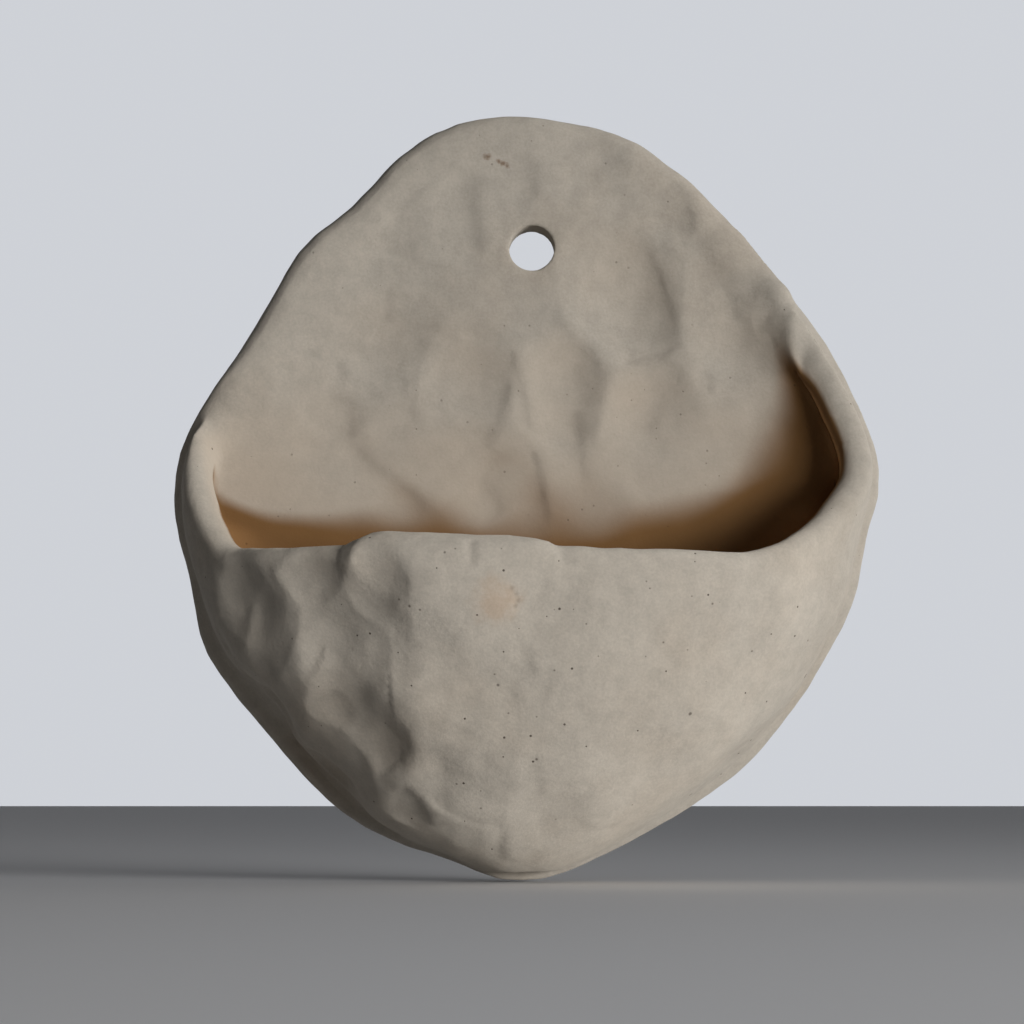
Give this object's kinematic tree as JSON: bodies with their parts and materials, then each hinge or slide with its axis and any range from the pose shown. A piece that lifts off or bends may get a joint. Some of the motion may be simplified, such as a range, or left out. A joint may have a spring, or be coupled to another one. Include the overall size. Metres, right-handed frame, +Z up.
{
  "type": "wall air plant holder",
  "caption": "Hand-pinched unglazed clay wall pocket: a flat back slab with a hanging hole near the top and an open half-bowl front that holds an air plant.",
  "frame": {"origin": "middle of the hanging hole on the flat back face, the face that lies on the wall", "axes": "+X to the right as the pocket is looked at from the front, -Y forward away from the wall, +Z up"},
  "size_m": [0.1079, 0.0431, 0.1172],
  "materials": {
    "back_slab_clay": "matte",
    "front_pocket_clay": "matte",
    "rim_lap_clay": "matte",
    "seam_coil_clay": "matte"
  },
  "bodies": {
    "root": {"back_slab": "back_slab_clay", "front_pocket": "front_pocket_clay", "rim_lap": "rim_lap_clay", "seam_coil": "seam_coil_clay"}
  },
  "joints": []
}
